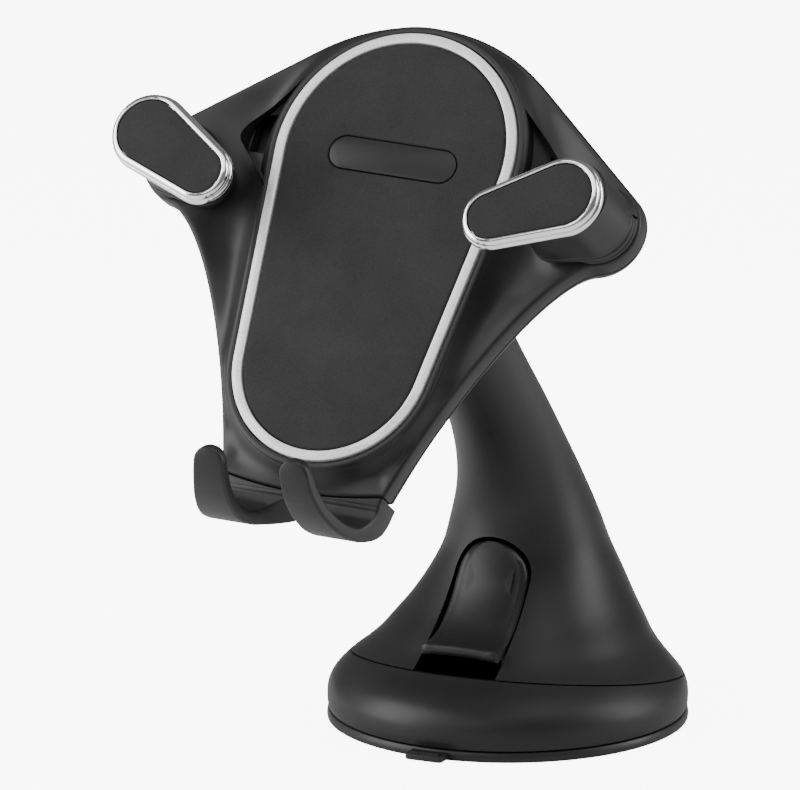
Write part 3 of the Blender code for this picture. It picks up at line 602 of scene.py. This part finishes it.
def make_lever():
    """Lever plate that follows the stem, with a rolled lip, two cheeks and a crank pin."""
    path = eased(LEVER_PATH, 10)
    rings = []
    gone = 0.0
    total = sum((b - a).length for a, b in zip(path, path[1:]))
    for i, spot in enumerate(path):
        ahead, back = path[min(i + 1, len(path) - 1)], path[max(i - 1, 0)]
        way = (ahead - back).normalized()
        if i:
            gone += (spot - path[i - 1]).length
        left = max(0, LEVER_HALF_WIDTH - gone)
        half = sqrt(max(1.2, LEVER_HALF_WIDTH**2 - left**2)) + 0.9 * max(0, gone - LEVER_HALF_WIDTH) / total
        end = total - gone
        thick = LEVER_THICK + 0.7 * exp(-((end / 3) ** 2))
        close = sqrt(max(0.02, 1 - max(0, 1 - end / 1.0) ** 2))
        flat = 1 - 0.75 * exp(-((end / 5) ** 2))
        half -= 0.8 * (1 - close)
        dip = 0.6 * min(1, gone / 9) * (1 - exp(-((end / 4) ** 2)))
        curve = max(half + 2, (30 - spot.y * 0.3) / flat)
        shift = Vector((way.y, -way.x)) * (thick * (1 - close) / 2)
        shift = shift if shift.x < 0 else -shift
        rings.append(lever_section((spot + shift, way), half, thick * close, dip, curve))
    lever = solid("suction_lever_skin", loft(rings))
    pivot = LEVER_PIVOT
    for side, _ in SIDES:
        cheek = arc((pivot.y, pivot.z), 2.6, 110, -110, 16) + [(-11.2, 31.0), (-7.9, 38.0)]
        near, far = sorted((side * 3.4, side * 5.6))
        shaped(lever, loft([[(x, y, z) for y, z in cheek] for x in (near, far)]), "UNION")
    half_swing = radians(LEVER_OPEN / 2)
    crank = pivot + Vector((0, CRANK_THROW * cos(half_swing), CRANK_THROW * sin(half_swing)))
    shaped(lever, rod(CRANK_RADIUS, -4.5, 4.5, 32, crank, "X"), "UNION")
    shaped(lever, rod(PIN_RADIUS + RUN, -9, 9, 32, pivot, "X"))
    return finished(lever, BLACK, "lever", ["suction_lever"], smooth=50)


# --- ball joint -----------------------------------------------------------------------------------


def make_ball_stud():
    """Ball on its neck."""
    neck_z = -sqrt(BALL_RADIUS**2 - BALL_NECK_RADIUS**2)
    profile = [(0, -24), (3.9, -24), (3.9, -13.2)]
    profile += [(BALL_NECK_RADIUS, -12.6), (BALL_NECK_RADIUS, neck_z - 0.6)]
    low = atan2(neck_z, BALL_NECK_RADIUS)
    for i in range(1, 28):
        angle = low + (pi / 2 - low) * i / 28
        profile.append((BALL_RADIUS * cos(angle), BALL_RADIUS * sin(angle)))
    profile.append((0, BALL_RADIUS))
    ball = solid("ball_stud_skin", turned(profile, 72))
    return finished(ball, BLACK, "base", ["ball_stud"], STEM_END, smooth=40)


def make_collar():
    """Clamping collar with scalloped grips round its outside."""
    steps = [(-6.4, -1.9), (-6.2, -1.3), (-5.7, -0.6), (-5.0, -0.15), (-4.4, 0)]
    steps += [(z, 0) for z in (-2, 0, 2, 4)] + [(4.8, -0.15), (5.4, -0.5), (5.8, -1.1)]
    rings = []
    segments = 12 * COLLAR_GRIPS
    for z, grow in steps:
        ring = []
        fade = max(0, min(1, (5.8 - abs(z + 0.3)) / 1.5))
        for i in range(segments):
            angle = 2 * pi * i / segments
            scallop = SCALLOP_DEPTH * fade * max(0, cos(COLLAR_GRIPS * angle / 2)) ** 2
            radius = COLLAR_RADIUS + grow - scallop
            ring.append((radius * cos(angle), radius * sin(angle), z))
        rings.append(ring)
    collar = solid("collar_skin", loft(rings))
    thread = COLLAR_RADIUS - 1.7
    shaped(collar, turned([(0, -3.3), (thread, -3.3), (thread, 7), (0, 7)], 96))
    shaped(collar, turned([(0, -8), (10.2, -8), (9.6, -6.0), (8.1, -3.8), (8.1, -3), (0, -3)], 96))
    return finished(collar, BLACK, "collar", ["collar_nut"], BALL, smooth=40)


# --- cradle ---------------------------------------------------------------------------------------


def shell_outline(inset=0.0):
    """Outline of the cradle down to the seam with the foot, anticlockwise, with close points."""
    top = arc((0, TOP_EDGE - TOP_ARC_RADIUS), TOP_ARC_RADIUS, 90, WING_ANGLE, 22)
    corner = arc(CORNER_CENTRE, CORNER_RADIUS, WING_ANGLE, CORNER_END, 36)
    start, end = Vector(top[-1]), Vector(corner[0])
    slope = [tuple(start.lerp(end, i / 26)) for i in range(1, 26)]
    knots = [Vector((*point, 0)) for point in (corner[-1], *WAIST)]
    waist = [(p.x, p.y) for p in interpolate_bezier(*knots, 56)]
    seam_half = WAIST[2][0]
    seam = [(seam_half * (1 - i / 16), 0) for i in range(1, 17)]
    seam = [(x, WAIST[2][1] - SEAM_DIP * (1 - (x / seam_half) ** 2)) for x, _ in seam]
    right = top[1:] + slope + corner + waist[1:] + seam[:-1]
    outline = ([top[0]] + right + [seam[-1]] + mirrored(right))[::-1]
    return offset(outline, -inset) if inset else outline


def pear_outline(grow=0.0, count=64):
    """The pad's outline, grown by a distance."""
    return stadium((0, 0), PAD_TOP_RADIUS + grow, -90, PAD_LENGTH, PAD_FOOT_RADIUS + grow, count)


def pear_foot(point):
    """The nearest point on the pad's outline, the way out from it, and the distance."""
    side = 1 if point[0] >= 0 else -1
    spot = Vector((abs(point[0]), point[1]))
    taper = asin((PAD_TOP_RADIUS - PAD_FOOT_RADIUS) / PAD_LENGTH)
    way = Vector((cos(taper), -sin(taper)))
    along = spot.dot(Vector((-sin(taper), -cos(taper))))
    if along <= 0:
        way = spot.normalized()
        base = way * PAD_TOP_RADIUS
    elif along >= PAD_LENGTH * cos(taper):
        centre = Vector((0, -PAD_LENGTH))
        way = (spot - centre).normalized()
        base = centre + way * PAD_FOOT_RADIUS
    else:
        base = spot - way * (spot.dot(way) - PAD_TOP_RADIUS)
    reach = (spot - base).length
    return side_point(base, side), side_point(way, side), reach


def rayed_outline(inset):
    """The shell's outline drawn in along the ways out of the pad, which never cross."""
    drawn = []
    for point in shell_outline():
        base, way, reach = pear_foot(point)
        drawn.append(tuple(base + way * (reach - inset)))
    return drawn


def near_jaw(point):
    """1 close to a jaw's pivot, falling to 0 away from it."""
    away = (Vector((abs(point.x), point.y)) - JAW_PIVOT).length
    share = min(1, max(0, (away - 9.5) / 8))
    return 1 - share * share * (3 - 2 * share)


def face_height(spot, run, span):
    """Height of the shell's face at a run out from the bezel, on a span to the edge: a hollow sweep."""
    fall, end = exp(-((run / 2.6) ** 1.3)), exp(-((span / 2.6) ** 1.3))
    share = (fall - end) / (1 - end)
    hollow = min(1.5, 0.16 * max(0, span - 3.5)) * sin(pi * (run / span) ** 0.8) ** 1.5
    return FACE_Z + (SHOULDER_Z - FACE_Z) * share - hollow * (1 - near_jaw(spot))


def window_top():
    """The gap between bezel and wing edge on the right: an arc beside the bezel, a rounded outer corner."""
    inner = arc((0, 0), BEZEL_REACH + PAD_TOP_RADIUS + 0.35, -23, 30, 30)
    start, corner = Vector(inner[-1]), arc((36.2, 1.4), 4.0, 53, -35, 16)
    slope = [tuple(start.lerp(Vector(corner[0]), i / 8)) for i in range(1, 8)]
    end = [tuple(Vector(corner[-1]).lerp(Vector(inner[0]), i / 8)) for i in range(1, 8)]
    return inner + slope + corner + end


def window_foot():
    """The smaller opening at the window's foot: a crescent between two arcs, point for point with its top."""
    inner = arc((0, 0), 34.6, -10, 11.5, 30)
    outer = arc((31.2, 0.4), 7.7, 49, -58, 30)
    return inner + outer


def window_cutter(side):
    """Cutter for one wing's window."""
    top, foot = window_top(), window_foot()
    rings = [(top, 1.0), (top, -4.9), (foot, -7.3), (foot, -7.7)]
    return loft([[(side * x, y, z) for x, y in outline] for outline, z in rings])


def make_front_shell():
    """Front shell: a tray for the pad, a bezel round it and a hollow sweep out to a rolled edge."""
    rays = [pear_foot(point) for point in shell_outline()]

    def ring(distance_of, height_of):
        made = []
        for base, way, reach in rays:
            distance = distance_of(reach)
            spot = base + way * distance
            made.append((spot.x, spot.y, height_of(spot, distance, reach)))
        return made

    def level(distance, height):
        return ring(lambda reach: distance, lambda spot, run, reach: height)

    def edge(inset, height):
        return ring(lambda reach: reach - inset, lambda spot, run, reach: height)

    tray = RING_WIDTH + GAP
    rings = [level(tray, -2.5), level(tray, BEZEL_Z - 0.35), level(tray + 0.1, BEZEL_Z - 0.1)]
    rings += [level(tray + 0.35, BEZEL_Z), level(3.5, BEZEL_Z), level(3.9, BEZEL_Z - 0.12)]
    rings += [level(4.15, BEZEL_Z - 0.36)]
    sweep = 30
    for i in range(sweep + 1):
        share = (i / sweep) ** 1.35

        def out(reach, share=share):
            return BEZEL_REACH + (reach - EDGE_ROUND - BEZEL_REACH) * share

        def height(spot, distance, reach):
            return face_height(spot, distance - BEZEL_REACH, reach - EDGE_ROUND - BEZEL_REACH)

        rings.append(ring(out, height))
    for angle in (20, 45, 70, 90):
        turn = radians(angle)
        rings.append(edge(EDGE_ROUND * (1 - sin(turn)), FACE_Z - EDGE_ROUND * (1 - cos(turn))))
    split = SPLIT_Z + GAP / 2
    rings += [edge(0, split + 0.3), edge(0.1, split + 0.08), edge(0.35, split), edge(1.9, split)]
    rings += [edge(2.1, UNDER_Z), level(0, UNDER_Z)]
    shell = solid("front_shell_skin", loft(rings))
    for side, _ in SIDES:
        shaped(shell, window_cutter(side))
        shaped(shell, rod(5.2, SPLIT_Z - 1, 0, 48, (*side_point(JAW_PIVOT, side), 0)))
    shaped(shell, block((-9.6, -81, SPLIT_Z - 1), (9.6, -70, SLIDER_Z[1] + GAP)))
    return finished(shell, BLACK, "cradle", ["front_shell"], CRADLE)


def wing_bolts():
    """Where the back cover's screws are."""
    return [(side * x, y) for side, _ in SIDES for x, y in COVER_BOLTS]


def make_back_cover():
    """Back cover with rounded edge, socket neck and screw wells."""
    lip = SPLIT_Z - GAP / 2
    steps = [(BACK_Z, 4.4), (BACK_Z + 0.1, 3.7), (BACK_Z + 0.4, 3.05), (BACK_Z + 0.9, 2.4)]
    steps += [(BACK_Z + 1.6, 1.75), (BACK_Z + 2.5, 1.15), (BACK_Z + 3.5, 0.6), (lip - 0.35, 0.16)]
    steps += [(lip - 0.08, 0.22), (lip, 0.45)]
    cover = solid("back_cover_skin", layers(rayed_outline, steps))
    shaped(cover, layers(rayed_outline, [(BACK_Z + 1.9, 4.0), (BACK_Z + 2.5, 3.1), (lip, 2.6), (0, 2.6)]))
    shaped(cover, block((-9.6, -81, SLIDER_Z[0] - GAP), (9.6, -70, 0)))
    neck_top = BACK_Z + 1.0 + PAD_TOP_CENTRE.z
    thread = COLLAR_RADIUS - 1.9
    profile = [(0, 9.7), (10.1, 9.7), (10.1, -2.6), (thread, -2.6), (thread, 6.4), (12.0, 7.4)]
    profile += [(12.9, 8.6), (14.2, 9.6), (16.2, neck_top - 0.9), (16.9, neck_top), (0, neck_top)]
    neck = turned(profile, 96)
    bmesh.ops.translate(neck, verts=neck.verts, vec=-PAD_TOP_CENTRE)
    shaped(cover, neck, "UNION")
    for x, y in wing_bolts():
        shaped(cover, rod(1.3, BACK_Z - 1, 0, 24, (x, y, 0)))
        shaped(cover, rod(2.9, BACK_Z - 1, BACK_Z + 1.0, 40, (x, y, 0)))
    return finished(cover, BLACK, "cradle", ["back_cover"], CRADLE)


def make_cover_screws():
    """Pan-head screws with a cross recess."""
    for i, (x, y) in enumerate(wing_bolts()):
        head, tip = BACK_Z + 0.1, FACE_Z - 2.2
        profile = [(0, head), (1.7, head), (2.2, head + 0.2), (2.4, head + 0.5), (2.4, head + 0.8)]
        profile += [(1.1, head + 0.8), (1.1, tip), (0, tip)]
        screw = solid(f"cover_screw_{i + 1}_skin", turned(profile, 40, (x, y, 0)))
        for long, short in ((1.4, 0.3), (0.3, 1.4)):
            shaped(screw, block((x - long, y - short, head - 1), (x + long, y + short, head + 0.5)))
        finished(screw, STEEL, "cradle", [f"cover_screw_{i + 1}"], CRADLE)


def make_pad():
    """Trim ring, rubber pad with rounded shoulders, and the blank oval inset."""
    ring_steps = ((-2.2, 0.0), (-0.3, 0.0), (-0.08, -0.1), (0.0, -0.32))
    ring = solid("trim_ring_skin", layers(lambda grow: pear_outline(RING_WIDTH + grow), ring_steps))
    hole_steps = ((-3.0, 0.0), (-0.3, 0.0), (-0.08, 0.1), (0.0, 0.3), (0.5, 0.8))
    shaped(ring, layers(pear_outline, hole_steps))
    finished(ring, SATIN, "cradle", ["trim_ring"], CRADLE, smooth=30)
    steps = ((-2.2, -0.25), (-0.75, -0.25), (-0.5, -0.32), (-0.33, -0.5), (-0.26, -0.8), (-0.25, -1.2))
    pad = solid("pad_skin", layers(pear_outline, steps))
    oval = stadium((-11.7, -1.2), 3.8, 0, 23.4, 3.79, 24)
    recess = ((-1.2, 0.25), (-0.45, 0.25), (-0.25, 0.45), (0.5, 1.2))
    shaped(pad, layers(lambda grow: offset(oval, grow), recess))
    finished(pad, PAD, "cradle", ["pad"], CRADLE)
    inset = ((-0.95, 0.0), (-0.5, 0.0), (-0.36, -0.1), (-0.3, -0.3))
    badge = solid("badge_skin", layers(lambda grow: offset(oval, grow), inset))
    finished(badge, BADGE, "cradle", ["badge_inset"], CRADLE)


# --- jaws -----------------------------------------------------------------------------------------


def make_post(side, word):
    """Jaw post: a teardrop column with a stepped foot on a round flange."""
    pivot = side_point(JAW_PIVOT, side)
    hub = (*pivot, 0)

    def outline(grow):
        return stadium(pivot, JAW_RADII[0] + grow, aimed(side), JAW_LENGTH, JAW_RADII[1] + grow)

    steps = ((-2.5, 0.7), (-1.75, 0.7), (-1.5, 0.62), (-1.42, 0.5), (-1.3, 0.42), (-0.6, 0.36))
    steps += ((2.0, 0.28), (6.0, 0.16), (10.0, 0.06), (JAW_TOP_Z - 0.3, 0.0), (JAW_TOP_Z, -0.3))
    post = solid(f"{word}_post_skin", layers(outline, steps))
    base = JAW_BASE_Z
    edge = FLANGE_RADIUS
    flange = [(0, base), (edge - 0.2, base), (edge, base + 0.15), (edge, -3.0), (edge - 0.1, -2.75)]
    flange += [(edge - 0.4, -2.5), (edge - 0.7, -2.3), (0, -2.3)]
    shaped(post, turned(flange, 96, hub), "UNION")
    shaped(post, rod(2.6, base - 1, 6.0, 40, hub))
    pin = side_point(JAW_PIVOT + PIN_HOLE, side)
    shaped(post, rod(0.42, -3.3, 1, 20, (*pin, 0)))
    return finished(post, BLACK, f"{word}_jaw", [f"{word}_jaw_post"], CRADLE)


def make_paddle(side, word):
    """Bright double-beaded rim round a flat rubber face."""
    root = side_point(PADDLE_ROOT, side)
    big, small = PADDLE_RADII

    def outline(grow):
        return stadium(root, big + grow, aimed(side), PADDLE_LENGTH, small + grow, 40)

    low, high = PADDLE_Z
    wide = RIM_WIDTH
    steps = [(low, wide - 1.5), (low + 0.15, wide - 0.9), (low + 0.5, wide - 0.35), (low + 1.0, wide - 0.05)]
    steps += [(low + 1.5, wide), (low + 2.0, wide - 0.08), (low + 2.3, wide - 0.3), (low + 2.42, wide - 0.5)]
    steps += [(low + 2.6, wide - 0.5), (low + 2.9, wide - 0.42), (low + 3.3, wide - 0.5)]
    steps += [(low + 3.65, wide - 0.75), (low + 3.88, wide - 1.05), (high, wide - 1.35)]
    rim = solid(f"{word}_rim_skin", layers(outline, steps))
    tray = ((high - 1.8, 0.0), (high - 0.25, 0.0), (high - 0.1, 0.06), (high, 0.2), (high + 1, 0.9))
    shaped(rim, layers(outline, tray))
    finished(rim, CHROME, f"{word}_jaw", [f"{word}_jaw_rim"], CRADLE, smooth=45)
    steps = ((high - 1.6, -0.15), (high - 0.5, -0.15), (high - 0.27, -0.22))
    steps += ((high - 0.13, -0.45), (high - 0.1, -0.8))
    face = solid(f"{word}_pad_skin", layers(outline, steps))
    finished(face, PAD, f"{word}_jaw", [f"{word}_jaw_pad"], CRADLE)


# --- foot -----------------------------------------------------------------------------------------


def rounded_box(near, far, thick, radius, points=5):
    """A rounded rectangle (x, across), anticlockwise."""
    radius = min(radius, thick * 0.45, (far - near) * 0.45)
    half = thick / 2
    corners = ((far - radius, half - radius, 0), (near + radius, half - radius, 90))
    corners += ((near + radius, radius - half, 180), (far - radius, radius - half, 270))
    out = []
    for x, y, start in corners:
        out += arc((x, y), radius, start, start + 90, points)
    return out


def half_foot(side):
    """Half of the foot: from the seam down and forwards into one upturned hook with a round tip."""
    rows = eased(FOOT_SECTIONS, 8)
    left = [0.0]
    for a, b in zip(rows[::-1], rows[-2::-1]):
        left.append(left[-1] + hypot(a[0] - b[0], a[1] - b[1]))
    left = left[::-1]
    rings = []
    for i, (z, y, inner, outer, thick) in enumerate(rows):
        before, after = rows[max(0, i - 1)], rows[min(len(rows) - 1, i + 1)]
        run = Vector((after[0] - before[0], after[1] - before[1])).normalized()
        middle, half = (inner + outer) / 2, (outer - inner) / 2
        if left[i] < half:
            half = max(0.55, sqrt(max(0, half**2 - (half - left[i]) ** 2)))
        near, far = sorted((side * (middle - half), side * (middle + half)))
        end = min(1, 0.45 + left[i] / 0.9)
        ring = []
        for x, across in rounded_box(near, far, thick * end, HOOK_ROUND):
            ring.append((x, y + run.x * across, z - run.y * across))
        rings.append(ring)
    return loft(rings)


def make_foot():
    """Sliding foot: two mirrored halves joined, cut to the seam and hollowed for the slider."""
    foot = solid("foot_skin", half_foot(1))
    shaped(foot, half_foot(-1), "UNION")
    seam_half = WAIST[2][0]
    xs = [25 - 50 * i / 48 for i in range(49)]
    seam = [(x, WAIST[2][1] - GAP - SEAM_DIP * (1 - (x / seam_half) ** 2)) for x in xs]
    shaped(foot, loft([[(x, y, z) for x, y in seam + [(-25, -60), (25, -60)]] for z in (-20, 5)]))
    shaped(foot, block((-6.8, -80.5, SLIDER_Z[0] - GAP), (6.8, -70, SLIDER_Z[1] + GAP)))
    return finished(foot, BLACK, "slider", ["foot"], CRADLE, smooth=40)


# --- carried-over parts, floor, lights and camera -------------------------------------------------


def finish_cad_nodes():
    """Gives every node that still shows the finish of its slot."""
    slots = {row["node"]: row["material_slot"] for row in frame["record"]["subparts"]}
    for name, node in frame["nodes"].items():
        if node.hide_render:
            continue
        node.data.materials.clear()
        node.data.materials.append(SLOT_SURFACES[slots[name]])


def make_floor():
    """Plain pale floor."""
    mesh = bmesh.new()
    bmesh.ops.create_grid(mesh, x_segments=1, y_segments=1, size=6.0)
    floor = bpy.data.objects.new("floor", bpy.data.meshes.new("floor"))
    mesh.to_mesh(floor.data)
    mesh.free()
    bpy.context.collection.objects.link(floor)
    made, tree, shader, _ = surface("floor", (0.9, 0.9, 0.9), 0.7)
    shader.inputs["Emission Color"].default_value = (1, 1, 1, 1)
    light_path = tree.nodes.new("ShaderNodeLightPath")
    glow = ranged(tree, light_path.outputs["Is Camera Ray"], 0, 1, 0, FLOOR_GLOW)
    tree.links.new(glow, shader.inputs["Emission Strength"])
    floor.data.materials.append(made)


def softbox(name, azimuth, elevation, distance, size, power):
    """A large soft light, its azimuth counted from the camera's, aimed at the object."""
    light = bpy.data.lights.new(name, "AREA")
    light.shape = "RECTANGLE"
    light.size, light.size_y = size
    light.energy = power
    lamp = bpy.data.objects.new(name, light)
    bpy.context.collection.objects.link(lamp)
    a, e = radians(VIEW_AZIMUTH + azimuth), radians(elevation)
    back = Vector((sin(a) * cos(e), -cos(a) * cos(e), sin(e)))
    lamp.location = LIGHT_TARGET + back * distance
    lamp.rotation_euler = back.to_track_quat("Z", "Y").to_euler()
    lamp.visible_camera = False


def make_lights():
    """White surroundings and four soft boxes."""
    world = bpy.data.worlds.new("studio")
    bpy.context.scene.world = world
    world.use_nodes = True
    world.node_tree.nodes["Background"].inputs["Color"].default_value = (1, 1, 1, 1)
    world.node_tree.nodes["Background"].inputs["Strength"].default_value = WORLD_STRENGTH
    softbox("left_box", -82, 18, 0.75, (0.55, 0.75), 8)
    softbox("right_box", 88, 22, 0.8, (0.35, 0.7), 5)
    softbox("top_box", -10, 72, 0.9, (0.9, 0.7), 5)
    softbox("front_fill", -28, 30, 1.2, (0.5, 0.5), 2)


def make_camera():
    """A long lens, close to parallel rays, from the front right and a little above."""
    camera = bpy.data.objects.new("camera", bpy.data.cameras.new("camera"))
    bpy.context.collection.objects.link(camera)
    azimuth = radians(VIEW_AZIMUTH)
    camera.location = Matrix.Rotation(azimuth, 3, "Z") @ CAMERA_PLACE
    camera.rotation_euler = (pi / 2 - CAMERA_PITCH, 0, azimuth)
    camera.data.lens = CAMERA_LENS
    camera.data.sensor_width = 36
    camera.data.clip_start = 0.1
    camera.data.clip_end = 50
    bpy.context.scene.camera = camera


make_cup()
make_skirt()
make_stem()
make_lever()
make_ball_stud()
make_collar()
make_front_shell()
make_back_cover()
make_cover_screws()
make_pad()
for side, word in SIDES:
    make_post(side, word)
    make_paddle(side, word)
make_foot()
finish_cad_nodes()
make_floor()
make_lights()
make_camera()
